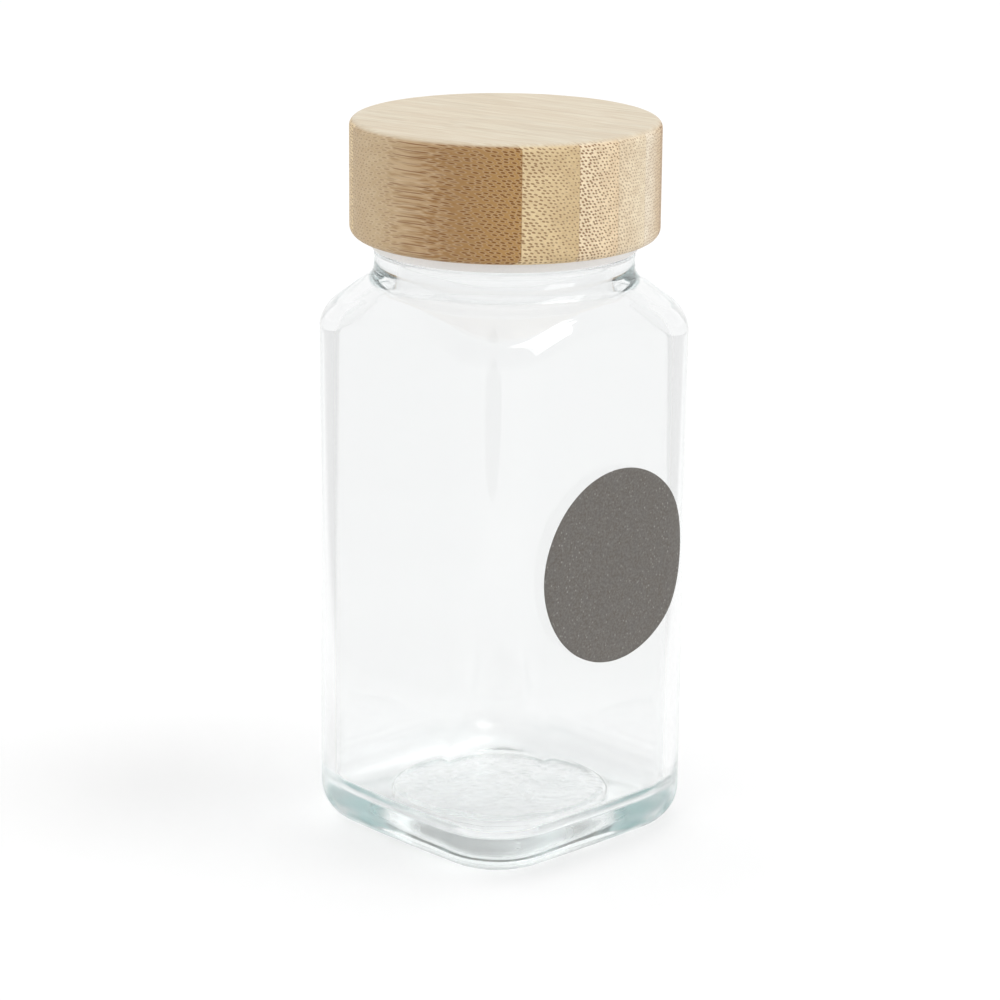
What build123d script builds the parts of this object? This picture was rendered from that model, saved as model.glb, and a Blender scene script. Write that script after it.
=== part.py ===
"""Square glass spice jar with a round label and a screwed lid of laminated bamboo.

Millimetres, +Z up along the neck. The origin is the centre of the base. The labelled face looks along -Y.
"""
from build123d import *
from math import cos, floor, radians, tan
import os

os.makedirs("parts", exist_ok=True)

# Glass body: a rounded square whose faces bow outward a little
body_width = 45.0
face_bow = 0.5
corner_radius = 11.6
wall = 2.2
heel_radius = 6.0
floor_thickness = 5.4
floor_fillet = 3.4

# Round push-up under the base, and the low mound that follows it inside
push_up_step = 0.7
push_up_rise = 1.6
push_up_edge = 0.3
mound_margin = 0.5
mound_height = 0.9

# Shoulder: a cone below the neck, blended into the four faces
shoulder_height = 86.0
shoulder_slope = 36.0
shoulder_fillet = 4.6
inner_shoulder_fillet = 4.0
neck_root_fillet = 2.6
bore_root_fillet = 6.0

# Neck: a plain bead that shows below the lid, and above it the finish that carries the thread
bead_step = 1.8
bead_rise = 3.6
bead_edge = 0.6
finish_height = 11.7
finish_root_fillet = 0.6
finish_wall = 2.0
lip_edge = 0.5

# Screw thread on the glass: one start
thread_pitch = 4.23
glass_thread_turns = 1.0
glass_thread_below_lip = 2.2
glass_thread_depth = 1.15
glass_thread_root_width = 2.2
glass_thread_crest_width = 1.0

# Thread rib inside the liner, which pulls up under the glass thread
liner_thread_turns = 1.25
liner_thread_depth = 1.0
liner_thread_root_width = 1.5
liner_thread_crest_width = 0.8
thread_flank_gap = 0.3
thread_clearance = 0.2
rib_sink = 0.15

# Threaded liner and seal, both inside the lid. The liner's rim shows below the wood
liner_wall = 0.8
liner_roof = 1.2
liner_edge = 0.4
liner_above_bead = 0.55
liner_proud = 1.6
seal_thickness = 1.2
seal_side_gap = 0.35

# Bamboo lid: strips glued side by side, turned to a cup
lid_wall = 3.25
lid_roof = 5.5
lid_top_round = 1.2
lid_bottom_round = 1.6
strip_share = 0.287
middle_seam_share = -0.1913
least_strip_width = 2.0
grain_turn = 12.0

# Round label on the -Y face
label_radius = 14.7
label_thickness = 0.15
label_across = 1.4
label_up = 45.5

# How far a cutting shape runs past what it cuts, and how near an edge lies to where it is looked for
overrun = 5.0
edge_match = 0.0001

# The push-up and the mound fill the flats that the heel and the floor's fillet leave
push_up_radius = body_width / 2 - heel_radius - push_up_edge
mound_radius = body_width / 2 - wall - floor_fillet - mound_margin

# The lid is flush with the bowed faces, the liner fills it, and the neck fills the liner
lid_radius = body_width / 2 + face_bow
strip_width = lid_radius * strip_share
middle_seam = lid_radius * middle_seam_share
liner_radius = lid_radius - lid_wall
liner_bore_radius = liner_radius - liner_wall
finish_radius = liner_bore_radius - thread_clearance - glass_thread_depth
bead_radius = finish_radius + bead_step
bore_radius = finish_radius - finish_wall

# Heights that follow from the sizes above
slope = tan(radians(shoulder_slope))
bead_top = shoulder_height + bead_rise
lip_height = bead_top + finish_height
glass_thread_start = lip_height - glass_thread_below_lip - thread_pitch * glass_thread_turns
liner_bottom = bead_top + liner_above_bead
liner_ceiling = lip_height + seal_thickness
liner_top = liner_ceiling + liner_roof
lid_bottom = liner_bottom + liner_proud
lid_top = liner_top + lid_roof


def body_outline(inset):
    """Rounded square with arcs for sides, drawn inward by inset."""
    half = body_width / 2 - inset
    middle = half + face_bow
    corners = [(half, -half), (half, half), (-half, half), (-half, -half)]
    middles = [(middle, 0), (0, middle), (-middle, 0), (0, -middle)]
    with BuildSketch() as outline:
        with BuildLine():
            for index, side_middle in enumerate(middles):
                ThreePointArc(corners[index], side_middle, corners[(index + 1) % len(corners)])
        make_face()
        fillet(outline.vertices(), radius=corner_radius - inset)
    return outline.sketch


def below_cone(top_radius, top_height):
    """Everything below a cone of the shoulder's slope that ends in a flat circle of top_radius.

    The cone's seam is turned to a corner, where it stays clear of the middles of the faces.
    """
    reach = body_width
    with BuildPart() as limit:
        with BuildSketch(Plane.XZ):
            Polygon(
                (0, -overrun),
                (reach, -overrun),
                (reach, top_height - (reach - top_radius) * slope),
                (top_radius, top_height),
                (0, top_height),
                align=None,
            )
        revolve(axis=Axis.Z)
    return limit.part.rotate(Axis.Z, 45)


def low_dome(radius, height, base):
    """Cap of a sphere, height tall, whose rim of the given radius lies at base."""
    with BuildPart() as dome:
        with BuildSketch(Plane.XZ):
            with BuildLine():
                TangentArc((0, base + height), (radius, base), tangent=(1, 0))
                Polyline((radius, base), (0, base), (0, base + height))
            make_face()
        revolve(axis=Axis.Z)
    return dome.part


def thread_rib(turns, start, turned_back, root_radius, crest_radius, root_width, crest_width):
    """Helical rib that rises from start, turned back by an angle from +X, on a wall of root_radius."""
    with BuildPart() as rib:
        with BuildLine() as path:
            Helix(pitch=thread_pitch, height=thread_pitch * turns, radius=root_radius, center=(0, 0, start))
        with BuildSketch(Plane.XZ):
            Polygon(
                (root_radius, start - root_width / 2),
                (crest_radius, start - crest_width / 2),
                (crest_radius, start + crest_width / 2),
                (root_radius, start + root_width / 2),
                align=None,
            )
        sweep(path=path.line, is_frenet=True)
    return rib.part.rotate(Axis.Z, -turned_back)


def arches_of(part):
    """Curved edges in which the shoulder's cone meets the faces and corners of the body."""
    return part.faces().filter_by(GeomType.CONE).edges().filter_by(GeomType.BSPLINE)


def circles_at(part, radius, height):
    """Circular edges of a part that have this radius and lie at this height."""
    circles = part.edges().filter_by(GeomType.CIRCLE)
    level = circles.filter_by(lambda edge: abs(edge.center().Z - height) < edge_match)
    return level.filter_by(lambda edge: abs(edge.radius - radius) < edge_match)


# The hollow of the jar
inner_cone_top = shoulder_height + (bead_radius - bore_radius) * slope - wall / cos(radians(shoulder_slope))

with BuildPart() as hollow:
    with BuildSketch(Plane.XY.offset(floor_thickness)):
        add(body_outline(wall))
    extrude(amount=inner_cone_top - floor_thickness)
    add(below_cone(bore_radius, inner_cone_top), mode=Mode.INTERSECT)
    fillet(arches_of(hollow), radius=inner_shoulder_fillet)
    fillet(hollow.faces().sort_by(Axis.Z)[0].edges(), radius=floor_fillet)
    add(low_dome(mound_radius, mound_height, floor_thickness), mode=Mode.SUBTRACT)
    with BuildSketch(Plane.XY.offset(inner_cone_top)):
        Circle(bore_radius)
    extrude(amount=lip_height - inner_cone_top)
    fillet(circles_at(hollow, bore_radius, inner_cone_top), radius=bore_root_fillet)

# The glass jar: body, shoulder, neck, thread, and the push-up under the base
with BuildPart() as glass_jar:
    with BuildSketch():
        add(body_outline(0))
    extrude(amount=shoulder_height)
    fillet(glass_jar.faces().sort_by(Axis.Z)[0].edges(), radius=heel_radius)
    add(below_cone(bead_radius, shoulder_height), mode=Mode.INTERSECT)
    fillet(arches_of(glass_jar), radius=shoulder_fillet)
    with BuildSketch(Plane.XY.offset(shoulder_height)):
        Circle(bead_radius)
    extrude(amount=bead_rise)
    with BuildSketch(Plane.XY.offset(bead_top)):
        Circle(finish_radius)
    extrude(amount=finish_height)
    fillet(circles_at(glass_jar, bead_radius, shoulder_height), radius=neck_root_fillet)
    fillet(circles_at(glass_jar, bead_radius, bead_top), radius=bead_edge)
    fillet(circles_at(glass_jar, finish_radius, bead_top), radius=finish_root_fillet)
    add(hollow.part, mode=Mode.SUBTRACT)
    fillet(circles_at(glass_jar, finish_radius, lip_height), radius=lip_edge)
    fillet(circles_at(glass_jar, bore_radius, lip_height), radius=lip_edge)
    Cylinder(
        push_up_radius, push_up_step, align=(Align.CENTER, Align.CENTER, Align.MIN), mode=Mode.SUBTRACT
    )
    add(low_dome(push_up_radius, push_up_rise - push_up_step, push_up_step), mode=Mode.SUBTRACT)
    fillet(circles_at(glass_jar, push_up_radius, 0), radius=push_up_edge)
    add(
        thread_rib(
            turns=glass_thread_turns,
            start=glass_thread_start,
            turned_back=0,
            root_radius=finish_radius - rib_sink,
            crest_radius=finish_radius + glass_thread_depth,
            root_width=glass_thread_root_width,
            crest_width=glass_thread_crest_width,
        )
    )
glass_jar.part.label = "glass_jar"
export_step(glass_jar.part, "parts/glass_jar.step")

# Round label, bent to the face and round the start of one corner
with BuildPart() as jar_label:
    with BuildSketch(Plane.XY.offset(label_up - label_radius)):
        add(body_outline(-label_thickness))
        add(body_outline(0), mode=Mode.SUBTRACT)
    extrude(amount=2 * label_radius)
    with BuildSketch(Plane.XZ):
        with Locations((label_across, label_up)):
            Circle(label_radius)
    extrude(amount=body_width, mode=Mode.INTERSECT)
jar_label.part.label = "jar_label"
export_step(jar_label.part, "parts/jar_label.step")

# Seal disc, lying on the lip
with BuildPart() as seal_disc:
    with BuildSketch(Plane.XY.offset(lip_height)):
        Circle(liner_bore_radius - seal_side_gap)
    extrude(amount=seal_thickness)
seal_disc.part.label = "seal_disc"
export_step(seal_disc.part, "parts/seal_disc.step")

# Threaded liner: its rib starts a part turn before the glass thread and lies under it
liner_thread_lead_turns = liner_thread_turns - glass_thread_turns
flank_drop = (glass_thread_root_width + liner_thread_crest_width) / 2 - rib_sink + thread_flank_gap
liner_thread_start = glass_thread_start - flank_drop - thread_pitch * liner_thread_lead_turns

with BuildPart() as cap_liner:
    with BuildSketch(Plane.XY.offset(liner_bottom)):
        Circle(liner_radius)
    extrude(amount=liner_top - liner_bottom)
    with BuildSketch(Plane.XY.offset(liner_bottom)):
        Circle(liner_bore_radius)
    extrude(amount=liner_ceiling - liner_bottom, mode=Mode.SUBTRACT)
    fillet(circles_at(cap_liner, liner_radius, liner_top), radius=liner_edge)
    fillet(circles_at(cap_liner, liner_bore_radius, liner_bottom), radius=liner_edge)
    add(
        thread_rib(
            turns=liner_thread_turns,
            start=liner_thread_start,
            turned_back=360 * liner_thread_lead_turns,
            root_radius=liner_bore_radius + rib_sink,
            crest_radius=liner_bore_radius - liner_thread_depth,
            root_width=liner_thread_root_width,
            crest_width=liner_thread_crest_width,
        )
    )
cap_liner.part.label = "cap_liner"
export_step(cap_liner.part, "parts/cap_liner.step")

# Bamboo lid, first as one turned cup
with BuildPart() as lid_cup:
    with BuildSketch(Plane.XY.offset(lid_bottom)):
        Circle(lid_radius)
    extrude(amount=lid_top - lid_bottom)
    fillet(circles_at(lid_cup, lid_radius, lid_top), radius=lid_top_round)
    fillet(circles_at(lid_cup, lid_radius, lid_bottom), radius=lid_bottom_round)
    with BuildSketch(Plane.XY.offset(lid_bottom)):
        Circle(liner_radius)
    extrude(amount=liner_top - lid_bottom, mode=Mode.SUBTRACT)
    fillet(circles_at(lid_cup, liner_radius, liner_top), radius=liner_edge)

# Then cut at its glue lines into strips, numbered across the grain
seam_reach = lid_radius - least_strip_width
first_seam = middle_seam - strip_width * floor((seam_reach + middle_seam) / strip_width)
seam_count = floor((seam_reach - first_seam) / strip_width) + 1
seams = [first_seam + index * strip_width for index in range(seam_count)]
strip_edges = [-lid_radius - overrun, *seams, lid_radius + overrun]
for index, (low_edge, high_edge) in enumerate(zip(strip_edges, strip_edges[1:])):
    with BuildPart() as lid_strip:
        add(lid_cup.part)
        with BuildSketch(Plane.XY.offset(lid_bottom).rotated((0, 0, grain_turn))):
            with Locations(((low_edge + high_edge) / 2, 0)):
                Rectangle(high_edge - low_edge, 2 * lid_radius)
        extrude(amount=lid_top - lid_bottom, mode=Mode.INTERSECT)
    lid_strip.part.label = f"lid_strip_{index + 1}"
    export_step(lid_strip.part, f"parts/lid_strip_{index + 1}.step")
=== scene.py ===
"""Square glass spice jar with a bamboo lid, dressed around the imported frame. Metres throughout."""

from math import atan2, cos, exp, hypot, pi, radians, sin, sqrt, tan

import bpy
from mathutils import Matrix, Vector, noise


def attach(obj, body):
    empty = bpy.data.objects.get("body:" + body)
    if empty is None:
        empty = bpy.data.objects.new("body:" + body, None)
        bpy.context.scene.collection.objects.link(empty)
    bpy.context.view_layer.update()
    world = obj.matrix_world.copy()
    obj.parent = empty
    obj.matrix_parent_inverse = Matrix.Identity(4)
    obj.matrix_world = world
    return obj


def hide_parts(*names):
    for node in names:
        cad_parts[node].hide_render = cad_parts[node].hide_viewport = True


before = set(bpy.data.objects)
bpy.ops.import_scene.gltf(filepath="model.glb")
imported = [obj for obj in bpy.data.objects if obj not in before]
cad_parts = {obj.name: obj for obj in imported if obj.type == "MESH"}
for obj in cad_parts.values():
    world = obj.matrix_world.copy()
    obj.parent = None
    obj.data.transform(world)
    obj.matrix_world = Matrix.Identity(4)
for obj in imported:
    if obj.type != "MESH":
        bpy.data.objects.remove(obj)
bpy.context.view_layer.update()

MM = 0.001

# Camera, as the photograph was taken
CAMERA_AZIMUTH = radians(-43.84)
CAMERA_DISTANCE = 500 * MM
CAMERA_HEIGHT = 194.5 * MM
CAMERA_PITCH = radians(16.03)
CAMERA_ROLL = radians(0.54)
CAMERA_YAW = radians(0.04)
CAMERA_LENS = 123.85
SENSOR_WIDTH = 36.0
CAMERA_NEAR = 10 * MM
CAMERA_FAR = 20.0

# Glass body
BODY_WIDTH = 45.0 * MM
FACE_BOW = 0.5 * MM
CORNER_RADIUS = 11.6 * MM
WALL = 2.2 * MM
HEEL_RADIUS = 6.0 * MM
FLOOR_THICKNESS = 5.4 * MM
FLOOR_FILLET = 3.4 * MM
PUSH_UP_RADIUS = 16.2 * MM
PUSH_UP_STEP = 0.7 * MM
PUSH_UP_RISE = 1.6 * MM
PUSH_UP_EDGE = 0.3 * MM
MOUND_RADIUS = 16.4 * MM
MOUND_HEIGHT = 0.9 * MM
SHOULDER_HEIGHT = 86.0 * MM
SHOULDER_SLOPE = radians(36.0)
SHOULDER_FILLET = 4.6 * MM
INNER_SHOULDER_FILLET = 4.0 * MM

# Glass neck and its thread
NECK_ROOT_FILLET = 2.6 * MM
BORE_ROOT_FILLET = 6.0 * MM
BEAD_RADIUS = 19.4 * MM
BEAD_RISE = 3.6 * MM
BEAD_EDGE = 0.6 * MM
BEAD_TOP = SHOULDER_HEIGHT + BEAD_RISE
FINISH_RADIUS = 17.6 * MM
FINISH_HEIGHT = 11.7 * MM
FINISH_ROOT_FILLET = 0.6 * MM
BORE_RADIUS = 15.6 * MM
LIP_EDGE = 0.5 * MM
LIP_HEIGHT = BEAD_TOP + FINISH_HEIGHT
THREAD_PITCH = 4.23 * MM
THREAD_BELOW_LIP = 2.2 * MM
THREAD_DEPTH = 1.15 * MM
THREAD_ROOT_WIDTH = 2.2 * MM
THREAD_CREST_WIDTH = 1.0 * MM
THREAD_FADE = 0.04

# Marks of the mould and the plunger in the glass
RIPPLE_LENGTH = 3.2 * MM
HEEL_RIPPLE_DEPTH = 0.05 * MM
FLOOR_RIPPLE_DEPTH = 0.06 * MM
CALM_SHARE = 0.35
MOAT_RADIUS = 15.6 * MM
MOAT_WIDTH = 0.8 * MM
MOAT_DEPTH = 0.32 * MM

# Mesh steps, fine enough for the glass to bend light smoothly
SIDE_STEPS = 28
CORNER_STEPS = 32
DOME_STEPS = 18
HEEL_STEPS = 20
WALL_STEPS = 24
SHOULDER_STEPS = 14
CONE_STEPS = 12
FINISH_STEPS = 48
BORE_STEPS = 16
INNER_SHOULDER_STEPS = 10
FLOOR_FILLET_STEPS = 14
MOUND_STEPS = 60
LABEL_TURNS = 160
LABEL_RINGS = 26

# Round label
LABEL_RADIUS = 14.7 * MM
LABEL_THICKNESS = 0.15 * MM
LABEL_LIFT = 0.01 * MM
LABEL_ACROSS = 1.4 * MM
LABEL_UP = 45.5 * MM

# Bamboo lid: strips glued side by side, each a share of the lid's radius wide
LID_RADIUS = BODY_WIDTH / 2 + FACE_BOW
STRIP_WIDTH = LID_RADIUS * 0.287
FIRST_SEAM = LID_RADIUS * -0.1913 - 2 * STRIP_WIDTH
GRAIN_TURN = radians(12.0)
BUNDLE_SPACING = 0.58 * MM
ROW_SPACING = 0.50 * MM
WANDER = 1.4 * MM

# Looks of the glass, label, liner and seal
# Glass base colour low and high: a faint cool cast of the glass, plus painted shade, greyer high up than at
# the base
GLASS_SHADE_LOW = (0.98, 0.985, 0.985, 1)
GLASS_SHADE_HIGH = (0.948, 0.952, 0.952, 1)
GLASS_TINT = (0.53, 0.78, 0.775, 1)
GLASS_TINT_DENSITY = 3.0
GLASS_SHADOW = (0.996, 0.998, 0.997, 1)
LABEL_DARK = (0.138, 0.123, 0.107, 1)
LABEL_PALE = (0.146, 0.136, 0.126, 1)
LABEL_TOOTH = (0.205, 0.195, 0.180, 1)
LABEL_DUST = (0.34, 0.33, 0.31, 1)
LINER_DARK = (0.95, 0.95, 0.945, 1)
LINER_PALE = (0.98, 0.98, 0.975, 1)
FOAM_DARK = (0.93, 0.93, 0.92, 1)
FOAM_PALE = (0.97, 0.97, 0.96, 1)

# Looks of the bamboo
FADED_SIDE = (0.655, 0.512, 0.322, 1)
LID_TOP = (0.765, 0.695, 0.55, 1)
BROAD_STREAK = (0.42, 0.25, 0.11, 1)
FINE_STREAK = (0.42, 0.28, 0.15, 1)
PALE_FIBRE = (0.80, 0.60, 0.38, 1)
DARK_FIBRE = (0.30, 0.14, 0.045, 1)
BUNDLE_DOT = (0.22, 0.085, 0.012, 1)
BUNDLE_HALO = (0.90, 0.76, 0.56, 1)
GLUE = (0.36, 0.22, 0.11, 1)
# Each strip: its ground colour on the sparse and on the dense side, which side is dense (1 is the high seam),
# how strong its dots are, how far it pales towards its far end, and what sets its pattern apart
STRIP_LOOKS = [
    dict(sparse=(0.350, 0.190, 0.072), crowded=(0.480, 0.268, 0.086), side=1, dots=0.95, fade=0.9, seed=3.0),
    dict(sparse=(0.75, 0.57, 0.32), crowded=(0.87, 0.685, 0.40), side=0, dots=0.75, fade=0.0, seed=7.0),
    dict(sparse=(0.93, 0.75, 0.51), crowded=(0.98, 0.82, 0.58), side=0, dots=0.9, fade=0.0, seed=13.0),
    dict(sparse=(0.91, 0.79, 0.585), crowded=(0.92, 0.78, 0.565), side=0, dots=0.5, fade=0.0, seed=19.0),
    dict(sparse=(0.97, 0.87, 0.70), crowded=(0.74, 0.58, 0.38), side=1, dots=0.6, fade=0.2, seed=23.0),
    dict(sparse=(0.70, 0.56, 0.38), crowded=(0.62, 0.46, 0.29), side=0, dots=1.0, fade=0.4, seed=29.0),
    dict(sparse=(0.72, 0.57, 0.39), crowded=(0.58, 0.42, 0.25), side=1, dots=0.9, fade=0.3, seed=31.0),
]

# White sheet under the jar: half its width there, how it widens towards the back, its front end, its soft rim,
# and how pale the painted shade on the floor beyond it is
FLOOR_REACH = 4.0
FLOOR_GAP = 0.1 * MM
SHEET_HALF = 77 * MM
SHEET_SPREAD = 0.15
SHEET_FRONT = 90 * MM
SHEET_RIM = 40 * MM
SHADE_BEYOND_SHEET = 0.80
BLACK = (0.0, 0.0, 0.0, 1)
WHITE = (1.0, 1.0, 1.0, 1)

# Levels of the surroundings: what lights the jar, and what the glass shows ahead, behind the camera and above
AMBIENT = 0.915
FAR_SIDE = 1.0
CAMERA_SIDE = 0.55
OVERHEAD = 0.80

# Lamps, aimed at the middle of the jar
LAMP_TARGET = (0, 0, 50 * MM)
LAMP_DISTANCE = 3.0

# The thick base leads light round the walls in many total reflections
LONGEST_PATH = 160
LONGEST_CLEAR_PATH = 32


def add_object(name, data):
    """New object with this data, in the scene."""
    thing = bpy.data.objects.new(name, data)
    bpy.context.collection.objects.link(thing)
    return thing


def place_camera():
    """Camera at the photograph's place, looking a little down at the jar."""
    data = bpy.data.cameras.new("camera")
    data.sensor_width = SENSOR_WIDTH
    data.lens = CAMERA_LENS
    data.clip_start = CAMERA_NEAR
    data.clip_end = CAMERA_FAR
    heading = CAMERA_AZIMUTH + CAMERA_YAW
    forward = Vector((
        -sin(heading) * cos(CAMERA_PITCH),
        cos(heading) * cos(CAMERA_PITCH),
        -sin(CAMERA_PITCH),
    ))
    level_right = Vector((cos(heading), sin(heading), 0))
    level_up = level_right.cross(forward)
    right = level_right * cos(CAMERA_ROLL) + level_up * sin(CAMERA_ROLL)
    up = level_up * cos(CAMERA_ROLL) - level_right * sin(CAMERA_ROLL)
    place = Matrix((right, up, -forward)).transposed().to_4x4()
    place.translation = (
        sin(CAMERA_AZIMUTH) * CAMERA_DISTANCE,
        -cos(CAMERA_AZIMUTH) * CAMERA_DISTANCE,
        CAMERA_HEIGHT,
    )
    camera = add_object("camera", data)
    camera.matrix_world = place
    bpy.context.scene.camera = camera


class Nodes:
    """Short way to write a node tree. add gives the new node, and the other calls give its outputs."""

    def __init__(self, tree):
        self.tree = tree
        tree.nodes.clear()

    def add(self, kind, **settings):
        node = self.tree.nodes.new(kind)
        for key, value in settings.items():
            setattr(node, key, value)
        return node

    def link(self, source, target):
        self.tree.links.new(source, target)

    def feed(self, socket, value):
        """Sets a socket to a value, or links it if the value is a socket."""
        if isinstance(value, bpy.types.NodeSocket):
            self.link(value, socket)
        else:
            socket.default_value = value

    def math(self, operation, a, b=0.0, clamp=False):
        node = self.add("ShaderNodeMath", operation=operation, use_clamp=clamp)
        self.feed(node.inputs[0], a)
        self.feed(node.inputs[1], b)
        return node.outputs[0]

    def product(self, first, *others):
        for other in others:
            first = self.math("MULTIPLY", first, other)
        return first

    def one_minus(self, value):
        return self.math("SUBTRACT", 1.0, value)

    def vector(self, operation, a, b=(0, 0, 0)):
        """Vector maths. A dot product and a length come out as a number."""
        node = self.add("ShaderNodeVectorMath", operation=operation)
        self.feed(node.inputs[0], a)
        self.feed(node.inputs[1], b)
        return node.outputs["Value" if operation in ("DOT_PRODUCT", "LENGTH") else "Vector"]

    def separate(self, vector):
        """The x, y and z of a vector."""
        node = self.add("ShaderNodeSeparateXYZ")
        self.link(vector, node.inputs[0])
        return tuple(node.outputs)

    def ramp(self, value, low, high, out_low=0.0, out_high=1.0, smooth=True):
        """Leads from out_low to out_high while the value goes from low to high, and holds beyond."""
        node = self.add("ShaderNodeMapRange", interpolation_type="SMOOTHSTEP" if smooth else "LINEAR")
        self.feed(node.inputs["Value"], value)
        node.inputs["From Min"].default_value = low
        node.inputs["From Max"].default_value = high
        self.feed(node.inputs["To Min"], out_low)
        self.feed(node.inputs["To Max"], out_high)
        return node.outputs["Result"]

    def mix(self, factor, a, b):
        node = self.add("ShaderNodeMix", data_type="RGBA")
        self.feed(node.inputs["Factor"], factor)
        self.feed(node.inputs["A"], a)
        self.feed(node.inputs["B"], b)
        return node.outputs["Result"]

    def place(self):
        """The point's place on the object, in metres."""
        return self.add("ShaderNodeTexCoord").outputs["Object"]

    def stretch(self, vector, scale, shift=(0, 0, 0)):
        node = self.add("ShaderNodeMapping")
        self.link(vector, node.inputs["Vector"])
        node.inputs["Scale"].default_value = scale
        node.inputs["Location"].default_value = shift
        return node.outputs[0]

    def along_grain(self, vector):
        """The vector in the bamboo's own directions: x across the strips, y along the fibres."""
        node = self.add("ShaderNodeVectorRotate", rotation_type="Z_AXIS", invert=True)
        self.link(vector, node.inputs["Vector"])
        node.inputs["Angle"].default_value = GRAIN_TURN
        return node.outputs[0]

    def noise(self, vector, scale, detail=2.0, roughness=0.5, output="Fac"):
        node = self.add("ShaderNodeTexNoise")
        self.link(vector, node.inputs["Vector"])
        node.inputs["Scale"].default_value = scale
        node.inputs["Detail"].default_value = detail
        node.inputs["Roughness"].default_value = roughness
        return node.outputs[output]

    def cells(self, vector, scale, randomness=1.0, **settings):
        """Distance to the middle of the nearest cell, and that cell's random colour."""
        node = self.add("ShaderNodeTexVoronoi", **settings)
        self.link(vector, node.inputs["Vector"])
        node.inputs["Scale"].default_value = scale
        node.inputs["Randomness"].default_value = randomness
        return node.outputs["Distance"], node.outputs["Color"]

    def bump(self, height, strength, distance):
        node = self.add("ShaderNodeBump")
        node.inputs["Strength"].default_value = strength
        node.inputs["Distance"].default_value = distance
        self.link(height, node.inputs["Height"])
        return node.outputs["Normal"]

    def principled(self, **inputs):
        """Principled shader. Each name is a socket's name in small letters with _ for a space."""
        node = self.add("ShaderNodeBsdfPrincipled")
        sockets = {socket.name.lower().replace(" ", "_"): socket for socket in node.inputs}
        for name, value in inputs.items():
            self.feed(sockets[name], value)
        return node.outputs[0]

    def finish(self, surface, volume=None, output="ShaderNodeOutputMaterial"):
        node = self.add(output)
        self.link(surface, node.inputs["Surface"])
        if volume is not None:
            self.link(volume, node.inputs["Volume"])


def new_material(name):
    material = bpy.data.materials.new(name)
    material.use_nodes = True
    return material, Nodes(material.node_tree)


def glass_material():
    """Clear jar glass, hazy at the base, with a faint green tint in thick places. Lamps shine through it."""
    material, nodes = new_material("clear_glass")
    place = nodes.place()
    height = nodes.separate(place)[2]
    reach = nodes.vector("LENGTH", nodes.vector("MULTIPLY", place, (1, 1, 0)))
    # The push-up is blotchy and a little sandy
    under = nodes.product(
        nodes.ramp(reach, PUSH_UP_RADIUS - 0.9 * MM, PUSH_UP_RADIUS - 0.4 * MM, 1.0, 0.0),
        nodes.ramp(height, 2.0 * MM, 3.0 * MM, 1.0, 0.0),
    )
    blotches = nodes.noise(place, scale=240, detail=3, roughness=0.6)
    sandy = nodes.product(under, nodes.ramp(blotches, 0.35, 0.65, 0.12, 0.30))
    # The foot is stippled and the plunger leaves the inside of the floor less clear than the walls
    foot = nodes.ramp(height, 0.6 * MM, 4.0 * MM, 0.25, 0.0)
    inside = nodes.add("ShaderNodeAttribute", attribute_name="inside").outputs["Fac"]
    plunger = nodes.product(inside, nodes.ramp(height, 8 * MM, 11 * MM, 0.14, 0.0))
    # Base colour: the glass's faint cool cast, plus painted shade that greys it more higher up and leaves it
    # clearer at the base
    surface = nodes.principled(
        base_color=nodes.mix(nodes.ramp(height, 2 * MM, 26 * MM), GLASS_SHADE_LOW, GLASS_SHADE_HIGH),
        transmission_weight=1.0,
        ior=1.5,
        roughness=nodes.math("MAXIMUM", nodes.math("MAXIMUM", sandy, foot), plunger),
        normal=nodes.bump(nodes.product(under, blotches), strength=0.3, distance=0.3 * MM),
    )
    through = nodes.add("ShaderNodeBsdfTransparent")
    through.inputs["Color"].default_value = GLASS_SHADOW
    mix = nodes.add("ShaderNodeMixShader")
    nodes.link(nodes.add("ShaderNodeLightPath").outputs["Is Shadow Ray"], mix.inputs[0])
    nodes.link(surface, mix.inputs[1])
    nodes.link(through.outputs[0], mix.inputs[2])
    tint = nodes.add("ShaderNodeVolumeAbsorption")
    tint.inputs["Color"].default_value = GLASS_TINT
    tint.inputs["Density"].default_value = GLASS_TINT_DENSITY
    nodes.finish(mix.outputs[0], volume=tint.outputs[0])
    return material


def outline_arcs(inset):
    """Centre and radius of a side's arc and of a corner's arc, and the angle where the two meet."""
    half = BODY_WIDTH / 2 - inset
    side_radius = (half**2 + FACE_BOW**2) / (2 * FACE_BOW)
    side_centre = half + FACE_BOW - side_radius
    corner = CORNER_RADIUS - inset
    reach = side_radius - corner
    corner_centre = (side_centre + sqrt(2 * reach**2 - side_centre**2)) / 2
    return side_centre, side_radius, corner_centre, corner, atan2(corner_centre, corner_centre - side_centre)


def outline(inset):
    """Points round the body's rounded square, drawn inward by inset, starting at the middle of the +X face."""
    side_centre, side_radius, corner_centre, corner, meet = outline_arcs(inset)
    half_side = SIDE_STEPS // 2
    quarter = []
    for step in range(half_side):
        angle = meet * step / half_side
        quarter.append((side_centre + side_radius * cos(angle), side_radius * sin(angle)))
    for step in range(CORNER_STEPS):
        angle = meet + (pi / 2 - 2 * meet) * step / CORNER_STEPS
        quarter.append((corner_centre + corner * cos(angle), corner_centre + corner * sin(angle)))
    for step in range(half_side):
        angle = meet * (1 - step / half_side)
        quarter.append((side_radius * sin(angle), side_centre + side_radius * cos(angle)))
    points = []
    for c, s in ((1, 0), (0, 1), (-1, 0), (0, -1)):
        points += [(c * x - s * y, s * x + c * y) for x, y in quarter]
    return points


BEARINGS = [atan2(y, x) for x, y in outline(0)]


def circle(radius):
    """Points of a circle at the same bearings as the outline's points."""
    return [(radius * cos(angle), radius * sin(angle)) for angle in BEARINGS]


def row_at(height, points):
    """Flat row of points at this height."""
    return [(x, y, height) for x, y in points]


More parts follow.
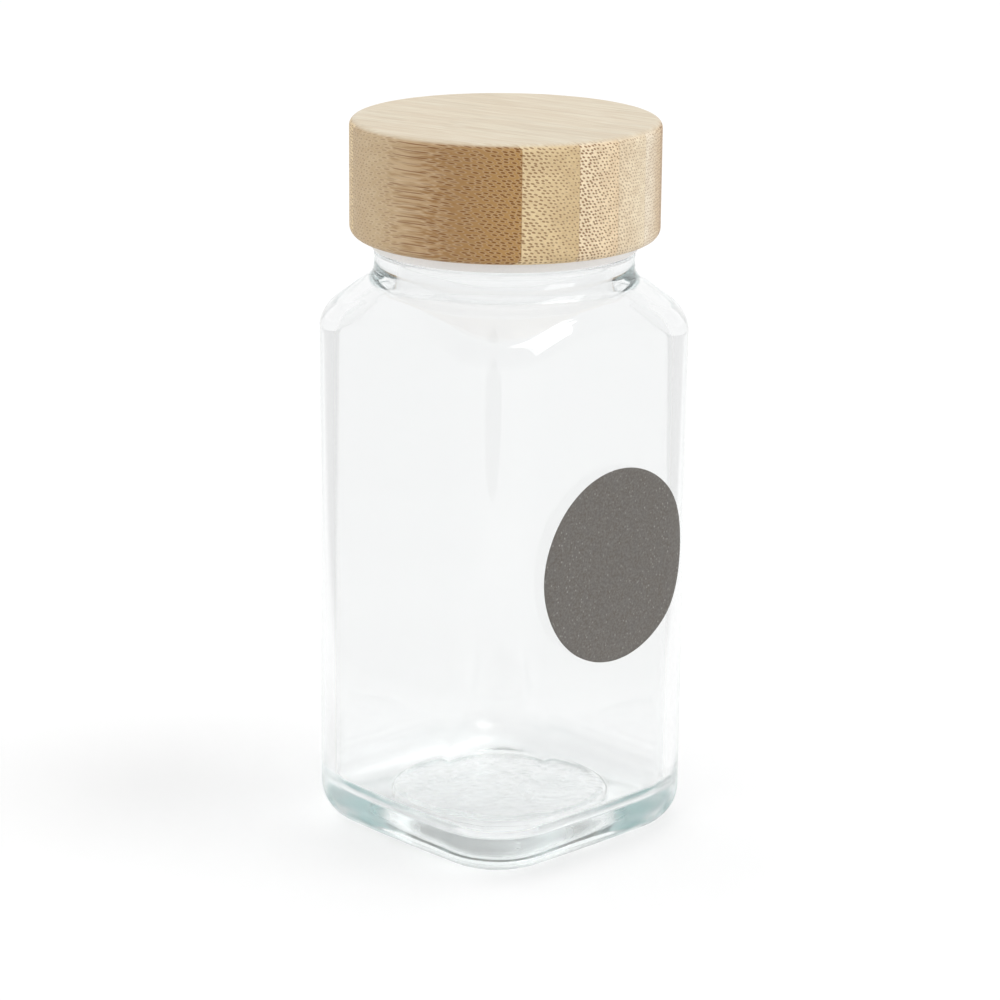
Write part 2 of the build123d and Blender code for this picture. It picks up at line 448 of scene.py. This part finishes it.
def blend_rows(inset, cone_radius, cone_top, fillet, steps):
    """Rows of the blend between the upright faces and the shoulder's cone, from the faces to the cone."""
    rows = []
    for step in range(steps + 1):
        angle = (pi / 2 - SHOULDER_SLOPE) * step / steps
        row = []
        for x, y in outline(inset):
            reach = hypot(x, y)
            centre = reach - fillet
            drop = (fillet + (centre - cone_radius) * sin(SHOULDER_SLOPE)) / cos(SHOULDER_SLOPE)
            rho = centre + fillet * cos(angle)
            row.append((x / reach * rho, y / reach * rho, cone_top - drop + fillet * sin(angle)))
        rows.append(row)
    return rows


def between(row_a, row_b, steps):
    """Rows that lead from row_a to row_b, without either of them."""
    rows = []
    for step in range(1, steps):
        share = step / steps
        rows.append([tuple(a + (b - a) * share for a, b in zip(p, q)) for p, q in zip(row_a, row_b)])
    return rows


def arc_rows(centre_radius, centre_height, radius, start, end, steps):
    """Round rows along an arc in the upright plane, from the start angle to the end angle."""
    rows = []
    for step in range(steps + 1):
        angle = start + (end - start) * step / steps
        rows.append(row_at(centre_height + radius * sin(angle), circle(centre_radius + radius * cos(angle))))
    return rows


def cap_height(radius, cap_radius, rise):
    """How far a shallow round cap stands over its rim, at this distance from its middle."""
    sphere = (cap_radius**2 + rise**2) / (2 * rise)
    return rise - sphere + sqrt(sphere**2 - radius**2)


def thread_height(angle, height):
    """How far the glass thread stands out of the finish at this bearing and height."""
    turn = (angle % (2 * pi)) / (2 * pi)
    start = LIP_HEIGHT - THREAD_BELOW_LIP - THREAD_PITCH
    away = abs(height - start - THREAD_PITCH * turn)
    flank = (THREAD_ROOT_WIDTH - THREAD_CREST_WIDTH) / 2
    rise = min(max((THREAD_ROOT_WIDTH / 2 - away) / flank, 0), 1)
    fade = min(turn / THREAD_FADE, (1 - turn) / THREAD_FADE, 1)
    return THREAD_DEPTH * rise * rise * (3 - 2 * rise) * fade


def thread_row(height):
    """Row of the finish with the thread standing out of it."""
    row = []
    for angle in BEARINGS:
        radius = FINISH_RADIUS + thread_height(angle, height)
        row.append((radius * cos(angle), radius * sin(angle), height))
    return row


def rippled(row, depth):
    """The row with the slight waves that mould and plunger leave in the glass."""
    waved = []
    for x, y, z in row:
        wave = depth * noise.noise(Vector((x, y, z)) / RIPPLE_LENGTH)
        stretch = 1 + wave / hypot(x, y)
        waved.append((x * stretch, y * stretch, z + wave))
    return waved


def outer_rows():
    """Rows of the jar's outer surface from the push-up's middle to the lip."""
    rows = []
    # Push-up, with its edge and the inner edge of the foot
    for step in range(1, DOME_STEPS + 1):
        radius = (PUSH_UP_RADIUS - PUSH_UP_EDGE) * step / DOME_STEPS
        rise = cap_height(radius, PUSH_UP_RADIUS, PUSH_UP_RISE - PUSH_UP_STEP)
        rows.append(row_at(PUSH_UP_STEP + rise, circle(radius)))
    edge = PUSH_UP_EDGE
    rows += arc_rows(PUSH_UP_RADIUS - edge, PUSH_UP_STEP - edge, edge, pi / 2, 0, steps=4)[1:]
    rows += arc_rows(PUSH_UP_RADIUS + edge, edge, edge, pi, 3 * pi / 2, steps=5)
    # Foot and heel
    rows += between(rows[-1], row_at(0, outline(HEEL_RADIUS)), steps=4)
    for step in range(HEEL_STEPS + 1):
        angle = pi / 2 * step / HEEL_STEPS
        row = row_at(HEEL_RADIUS * (1 - cos(angle)), outline(HEEL_RADIUS * (1 - sin(angle))))
        rows.append(rippled(row, HEEL_RIPPLE_DEPTH * sin(2 * angle)))
    # Walls and shoulder
    blend = blend_rows(0, BEAD_RADIUS, SHOULDER_HEIGHT, SHOULDER_FILLET, SHOULDER_STEPS)
    rows += between(rows[-1], blend[0], WALL_STEPS)
    rows += blend
    root = NECK_ROOT_FILLET
    root_height = SHOULDER_HEIGHT + root * (1 - sin(SHOULDER_SLOPE)) / cos(SHOULDER_SLOPE)
    bend = arc_rows(BEAD_RADIUS + root, root_height, root, 3 * pi / 2 - SHOULDER_SLOPE, pi, steps=8)
    rows += between(rows[-1], bend[0], CONE_STEPS)
    rows += bend
    # Bead, and the finish with its thread
    bead = arc_rows(BEAD_RADIUS - BEAD_EDGE, BEAD_TOP - BEAD_EDGE, BEAD_EDGE, 0, pi / 2, steps=8)
    rows += between(rows[-1], bead[0], steps=4)
    rows += bead
    root = FINISH_ROOT_FILLET
    rows += arc_rows(FINISH_RADIUS + root, BEAD_TOP + root, root, 3 * pi / 2, pi, steps=5)
    bottom, top = BEAD_TOP + root, LIP_HEIGHT - LIP_EDGE
    for step in range(1, FINISH_STEPS + 1):
        rows.append(thread_row(bottom + (top - bottom) * step / FINISH_STEPS))
    rows += arc_rows(FINISH_RADIUS - LIP_EDGE, top, LIP_EDGE, 0, pi / 2, steps=5)[1:]
    return rows


def moat(radius):
    """How deep the mark of the plunger's edge is at this distance from the middle of the floor."""
    return MOAT_DEPTH * exp(-(((radius - MOAT_RADIUS) / MOAT_WIDTH) ** 2))


def inner_rows():
    """Rows of the jar's inner surface from the lip to the floor's middle."""
    # Bore, and its bend into the shoulder
    rows = arc_rows(BORE_RADIUS + LIP_EDGE, LIP_HEIGHT - LIP_EDGE, LIP_EDGE, pi / 2, pi, steps=5)
    cone_top = SHOULDER_HEIGHT + (BEAD_RADIUS - BORE_RADIUS) * tan(SHOULDER_SLOPE) - WALL / cos(SHOULDER_SLOPE)
    root = BORE_ROOT_FILLET
    root_height = cone_top + root * (1 - sin(SHOULDER_SLOPE)) / cos(SHOULDER_SLOPE)
    bend = arc_rows(BORE_RADIUS + root, root_height, root, pi, 3 * pi / 2 - SHOULDER_SLOPE, steps=8)
    rows += between(rows[-1], bend[0], BORE_STEPS)
    rows += bend
    # Shoulder and walls
    blend = blend_rows(WALL, BORE_RADIUS, cone_top, INNER_SHOULDER_FILLET, INNER_SHOULDER_STEPS)[::-1]
    rows += between(rows[-1], blend[0], CONE_STEPS)
    rows += blend
    # Floor, with its round edge, its mound and the waves in it
    low = []
    for step in range(FLOOR_FILLET_STEPS + 1):
        angle = pi / 2 * step / FLOOR_FILLET_STEPS
        points = outline(WALL + FLOOR_FILLET * (1 - cos(angle)))
        low.append(row_at(FLOOR_THICKNESS + FLOOR_FILLET * (1 - sin(angle)), points))
    rows += between(rows[-1], low[0], WALL_STEPS)
    low += between(low[-1], row_at(FLOOR_THICKNESS, circle(MOUND_RADIUS)), steps=4)
    for step in range(MOUND_STEPS, 0, -1):
        radius = MOUND_RADIUS * step / MOUND_STEPS
        height = FLOOR_THICKNESS + cap_height(radius, MOUND_RADIUS, MOUND_HEIGHT) - moat(radius)
        low.append(row_at(height, circle(radius)))
    for row in low:
        outward = min(hypot(*row[0][:2]) / MOUND_RADIUS, 1) ** 2
        rows.append(rippled(row, FLOOR_RIPPLE_DEPTH * (CALM_SHARE + (1 - CALM_SHARE) * outward)))
    return rows


def close_rows(name, rows, start, end):
    """Mesh object of closed rings joined in order, with a middle point at each end."""
    count = len(rows[0])
    vertices = [point for row in rows for point in row]
    faces = []
    for row in range(len(rows) - 1):
        for index in range(count):
            other = (index + 1) % count
            a, b = row * count, (row + 1) * count
            faces.append((a + index, a + other, b + other, b + index))
    first, last = len(vertices), len(vertices) + 1
    vertices += [start, end]
    tail = (len(rows) - 1) * count
    for index in range(count):
        other = (index + 1) % count
        faces.append((first, other, index))
        faces.append((last, tail + index, tail + other))
    mesh = bpy.data.meshes.new(name)
    mesh.from_pydata(vertices, [], faces)
    mesh.validate()
    mesh.polygons.foreach_set("use_smooth", [True] * len(mesh.polygons))
    mesh.update()
    return add_object(name, mesh)


def make_jar():
    """The glass jar, finely meshed so that it refracts smoothly."""
    outer, inner = outer_rows(), inner_rows()
    floor_height = inner[-1][0][2]
    jar = close_rows("clear_jar", outer + inner, (0, 0, PUSH_UP_RISE), (0, 0, floor_height))
    inside = jar.data.attributes.new("inside", "FLOAT", "POINT")
    first_inside = len(outer) * len(outer[0])
    flags = [float(index >= first_inside) for index in range(len(jar.data.vertices))]
    inside.data.foreach_set("value", flags)
    jar.data.materials.append(glass_material())
    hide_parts("glass_jar")
    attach(jar, "jar")


def label_material():
    """Matte taupe-grey sticker with a fine tooth and specks of dust."""
    material, nodes = new_material("label_film")
    place = nodes.place()
    cloud = nodes.noise(place, scale=520, detail=4, roughness=0.65)
    tooth = nodes.noise(place, scale=2600, detail=3, roughness=0.7)
    colour = nodes.mix(nodes.ramp(cloud, 0.3, 0.7), LABEL_DARK, LABEL_PALE)
    colour = nodes.mix(nodes.ramp(tooth, 0.38, 0.66, 0.0, 0.8), colour, LABEL_TOOTH)
    # Dust and short upright fibres
    distance, chance = nodes.cells(nodes.stretch(place, (1.0, 1.0, 0.75)), scale=1700)
    dust = nodes.product(nodes.ramp(distance, 0.05, 0.30, 1.0, 0.0), nodes.ramp(chance, 0.42, 0.85))
    surface = nodes.principled(
        base_color=nodes.mix(dust, colour, LABEL_DUST),
        roughness=0.72,
        specular_ior_level=0.3,
        normal=nodes.bump(tooth, strength=0.25, distance=0.03 * MM),
    )
    nodes.finish(surface)
    return material


def on_face(across, height, lift):
    """Point on the labelled face, across to the right along the bent surface, lifted off it."""
    side_centre, side_radius, corner_centre, corner, meet = outline_arcs(0)
    flat = side_radius * meet
    run = min(abs(across), flat) / side_radius
    x, y = (side_radius + lift) * sin(run), side_centre + (side_radius + lift) * cos(run)
    if abs(across) > flat:
        angle = pi / 2 - meet - (abs(across) - flat) / corner
        x, y = corner_centre + (corner + lift) * cos(angle), corner_centre + (corner + lift) * sin(angle)
    return (x if across > 0 else -x), -y, height


def make_label():
    """Round sticker bent to the face, with a thickness and a softly rounded rim."""
    edge = LABEL_THICKNESS / 2
    radii = [LABEL_RADIUS * ring / LABEL_RINGS for ring in range(1, LABEL_RINGS)]
    profile = [(radius, LABEL_LIFT) for radius in radii]
    profile += [(LABEL_RADIUS, LABEL_LIFT), (LABEL_RADIUS, edge), (LABEL_RADIUS - edge, LABEL_THICKNESS)]
    profile += [(radius, LABEL_THICKNESS) for radius in reversed(radii)]
    angles = [2 * pi * turn / LABEL_TURNS for turn in range(LABEL_TURNS)]
    rows = [
        [on_face(LABEL_ACROSS + radius * cos(angle), LABEL_UP + radius * sin(angle), lift) for angle in angles]
        for radius, lift in profile
    ]
    back = on_face(LABEL_ACROSS, LABEL_UP, LABEL_LIFT)
    front = on_face(LABEL_ACROSS, LABEL_UP, LABEL_THICKNESS)
    label = close_rows("label_sticker", rows, back, front)
    label.data.materials.append(label_material())
    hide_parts("jar_label")
    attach(label, "jar")


def fibre_bundles(nodes, lane, density, seed):
    """Strength of the bundles' dots and of the pale halo round each. They stand in staggered rows."""
    across, _, up = nodes.separate(lane)
    row = nodes.math("DIVIDE", up, ROW_SPACING)
    column = nodes.math("ADD", nodes.math("DIVIDE", across, BUNDLE_SPACING), nodes.product(row, 0.5))
    grid = nodes.add("ShaderNodeCombineXYZ")
    nodes.link(nodes.math("ADD", column, seed), grid.inputs[0])
    nodes.link(row, grid.inputs[1])
    distance, colour = nodes.cells(grid.outputs[0], scale=1.0, randomness=0.5, voronoi_dimensions="2D")
    size = nodes.ramp(density, 0.0, 1.0, 0.22, 0.32, smooth=False)
    dot = nodes.ramp(nodes.math("SUBTRACT", size, distance), -0.07, 0.09)
    halo = nodes.ramp(nodes.math("SUBTRACT", distance, size), 0.0, 0.22, 1.0, 0.0)
    # Some bundles are paler, most of all on the sparse side
    shade = nodes.add("ShaderNodeSeparateColor")
    nodes.link(colour, shade.inputs[0])
    kept = nodes.ramp(shade.outputs[0], 0.05, 0.35, nodes.ramp(density, 0.0, 0.7, 0.45, 0.9), 1.0)
    return nodes.product(dot, kept), halo


def bamboo_material(index, sparse, crowded, side, dots, fade, seed):
    """Bamboo strip. Its fibre bundles run along the grain: dots on end grain and streaks beside it."""
    material, nodes = new_material(f"bamboo_{index + 1}")
    coords = nodes.add("ShaderNodeTexCoord")
    place = nodes.along_grain(coords.outputs["Object"])
    _, facing_end, facing_up = nodes.separate(nodes.along_grain(coords.outputs["Normal"]))
    facing_end = nodes.math("ABSOLUTE", facing_end)
    end_grain = nodes.ramp(facing_end, 0.05, 0.6)
    on_top = nodes.ramp(facing_up, 0.5, 0.95)
    # The bundles wander slowly along the grain
    wander = nodes.noise(place, scale=60, detail=1, output="Color")
    wander = nodes.vector("SUBTRACT", wander, (0.5, 0.5, 0.5))
    lane = nodes.vector("ADD", place, nodes.vector("MULTIPLY", wander, (WANDER, WANDER, WANDER)))
    # Share of the way from the strip's low seam to its high seam, turned towards the dense side
    low_seam = FIRST_SEAM + (index - 1) * STRIP_WIDTH
    past_seam = nodes.math("SUBTRACT", nodes.separate(place)[0], low_seam)
    share = nodes.math("DIVIDE", past_seam, STRIP_WIDTH, clamp=True)
    density = share if side else nodes.one_minus(share)
    dot, halo = fibre_bundles(nodes, lane, density, seed)
    # Ground colour, paler towards the far end and on top, with broad and fine streaks along the grain
    fibres = nodes.stretch(lane, (1.0, 0.05, 1.0), (seed * 0.11, 0.0, seed * 0.23))
    broad = nodes.noise(fibres, scale=620, detail=3, roughness=0.55)
    fine = nodes.noise(fibres, scale=3600, detail=2, roughness=0.6)
    faded = nodes.ramp(nodes.separate(lane)[1], -5 * MM, 9 * MM, 0.0, fade)
    ground = nodes.mix(nodes.ramp(density, 0.0, 1.0), (*sparse, 1), (*crowded, 1))
    ground = nodes.mix(faded, ground, FADED_SIDE)
    ground = nodes.mix(on_top, ground, LID_TOP)
    ground = nodes.mix(nodes.ramp(broad, 0.35, 0.65, 0.0, 0.22), ground, BROAD_STREAK)
    ground = nodes.mix(nodes.ramp(fine, 0.35, 0.65, 0.0, 0.18), ground, FINE_STREAK)
    # Cut fibres, seen from the side where the surface runs along the grain
    cut = nodes.noise(fibres, scale=2900, detail=2, roughness=0.55)
    beside = nodes.product(nodes.ramp(facing_end, 0.04, 0.36, 1.0, 0.0), nodes.one_minus(on_top))
    ground = nodes.mix(nodes.product(beside, nodes.ramp(cut, 0.58, 0.40, 0.0, 0.34)), ground, PALE_FIBRE)
    ground = nodes.mix(nodes.product(beside, nodes.ramp(cut, 0.50, 0.68, 0.0, 0.5)), ground, DARK_FIBRE)
    # Dots, weaker on top and where the strip has paled
    ground = nodes.mix(nodes.product(halo, 0.22), ground, BUNDLE_HALO)
    strength = nodes.ramp(end_grain, 0.0, 1.0, 0.9 * dots, 1.0 * dots)
    strength = nodes.product(strength, nodes.ramp(on_top, 0.0, 1.0, 1.0, 0.16))
    strength = nodes.product(strength, nodes.one_minus(nodes.product(faded, 0.6)))
    strength = nodes.product(dot, strength)
    colour = nodes.mix(strength, ground, BUNDLE_DOT)
    # Glue lines at both seams
    edge = nodes.math("MINIMUM", share, nodes.one_minus(share))
    colour = nodes.mix(nodes.ramp(edge, 0.004, 0.016, 0.2, 0.0), colour, GLUE)
    height = nodes.math("SUBTRACT", nodes.product(fine, 0.3), strength)
    surface = nodes.principled(
        base_color=colour,
        specular_ior_level=0.25,
        roughness=nodes.ramp(fine, 0.3, 0.7, 0.42, 0.55),
        normal=nodes.bump(height, strength=0.35, distance=0.05 * MM),
    )
    nodes.finish(surface)
    return material


def plastic_material():
    """White moulded liner with a faint satin grain."""
    material, nodes = new_material("liner_plastic")
    grain = nodes.noise(nodes.place(), scale=2600)
    surface = nodes.principled(
        base_color=nodes.mix(nodes.ramp(grain, 0.3, 0.7), LINER_DARK, LINER_PALE),
        roughness=0.42,
        normal=nodes.bump(grain, strength=0.15, distance=0.03 * MM),
    )
    nodes.finish(surface)
    return material


def foam_material():
    """White closed-cell foam of the seal."""
    material, nodes = new_material("seal_foam")
    distance, _ = nodes.cells(nodes.place(), scale=3000)
    surface = nodes.principled(
        base_color=nodes.mix(nodes.ramp(distance, 0.1, 0.6), FOAM_DARK, FOAM_PALE),
        roughness=0.8,
        normal=nodes.bump(distance, strength=0.3, distance=0.05 * MM),
    )
    nodes.finish(surface)
    return material


def dress(node, material):
    """Gives a CAD node that stays in view its finished material."""
    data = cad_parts[node].data
    data.materials.clear()
    data.materials.append(material)


def make_floor():
    """White sheet that keeps the jar's soft shadow; beyond it the floor is painted darker as shade, which
    draws the glass's edges.
    """
    material, nodes = new_material("floor")
    place = nodes.place()
    # Painted shade: outside the white sheet the floor is painted darker, as the shade the glass mirrors at its
    # edges
    side = nodes.vector("DOT_PRODUCT", place, (cos(CAMERA_AZIMUTH), sin(CAMERA_AZIMUTH), 0))
    back = nodes.vector("DOT_PRODUCT", place, (-sin(CAMERA_AZIMUTH), cos(CAMERA_AZIMUTH), 0))
    half_width = nodes.math("ADD", SHEET_HALF, nodes.product(back, SHEET_SPREAD))
    past_side = nodes.math("SUBTRACT", nodes.math("ABSOLUTE", side), half_width)
    past_front = nodes.math("SUBTRACT", -SHEET_FRONT, back)
    white = nodes.ramp(nodes.math("MAXIMUM", past_side, past_front), 0.0, SHEET_RIM, 1.0, SHADE_BEYOND_SHEET)
    surface = nodes.add("ShaderNodeBsdfDiffuse")
    nodes.link(nodes.mix(white, BLACK, WHITE), surface.inputs["Color"])
    nodes.finish(surface.outputs[0])
    corners = [(-1, -1), (1, -1), (1, 1), (-1, 1)]
    mesh = bpy.data.meshes.new("floor")
    mesh.from_pydata([(x * FLOOR_REACH, y * FLOOR_REACH, -FLOOR_GAP) for x, y in corners], [], [(0, 1, 2, 3)])
    mesh.materials.append(material)
    floor = add_object("floor", mesh)


def light_world():
    """White studio. The glass mirrors and bends a darker camera side, which draws its edges."""
    world = bpy.data.worlds.new("world")
    world.use_nodes = True
    bpy.context.scene.world = world
    nodes = Nodes(world.node_tree)
    towards = nodes.add("ShaderNodeTexCoord").outputs["Generated"]
    behind = nodes.vector("DOT_PRODUCT", towards, (sin(CAMERA_AZIMUTH), -cos(CAMERA_AZIMUTH), 0))
    shown = nodes.product(
        nodes.ramp(behind, -0.6, 0.6, FAR_SIDE, CAMERA_SIDE),
        nodes.ramp(nodes.separate(towards)[2], 0.35, 0.9, 1.0, OVERHEAD),
    )
    rays = nodes.add("ShaderNodeLightPath").outputs
    glassy = nodes.math("MAXIMUM", rays["Is Transmission Ray"], rays["Is Glossy Ray"])
    strength = nodes.ramp(glassy, 0.0, 1.0, AMBIENT, shown, smooth=False)
    strength = nodes.ramp(rays["Is Camera Ray"], 0.0, 1.0, strength, 1.0, smooth=False)
    background = nodes.add("ShaderNodeBackground")
    background.inputs["Color"].default_value = WHITE
    nodes.link(strength, background.inputs["Strength"])
    nodes.finish(background.outputs[0], output="ShaderNodeOutputWorld")


def area_light(name, direction, size, power):
    """Softbox in a direction from the jar, facing it."""
    data = bpy.data.lights.new(name, "AREA")
    data.shape = "RECTANGLE"
    data.size, data.size_y = size
    data.energy = power
    light = add_object(name, data)
    towards = Vector(direction).normalized()
    light.location = Vector(LAMP_TARGET) + towards * LAMP_DISTANCE
    light.rotation_mode = "QUATERNION"
    light.rotation_quaternion = towards.to_track_quat("Z", "Y")
    return light


def allow_long_paths():
    """Lets light go as far through the glass as it has to."""
    cycles = bpy.context.scene.cycles
    cycles.max_bounces = cycles.transmission_bounces = cycles.glossy_bounces = LONGEST_PATH
    cycles.transparent_max_bounces = LONGEST_CLEAR_PATH


place_camera()
light_world()
make_floor()
# The softbox only draws its highlight on the glass, and the side box lights the object
softbox = area_light("softbox", direction=(0.206, -0.565, 0.80), size=(1.5, 3.0), power=37.0)
softbox.visible_diffuse = False
area_light("side_box", direction=(0.249, -0.405, 0.87), size=(1.2, 1.2), power=17.0)
make_jar()
make_label()
for index, look in enumerate(STRIP_LOOKS):
    dress(f"lid_strip_{index + 1}", bamboo_material(index, **look))
dress("cap_liner", plastic_material())
dress("seal_disc", foam_material())
bpy.context.scene.view_settings.view_transform = "Standard"
allow_long_paths()
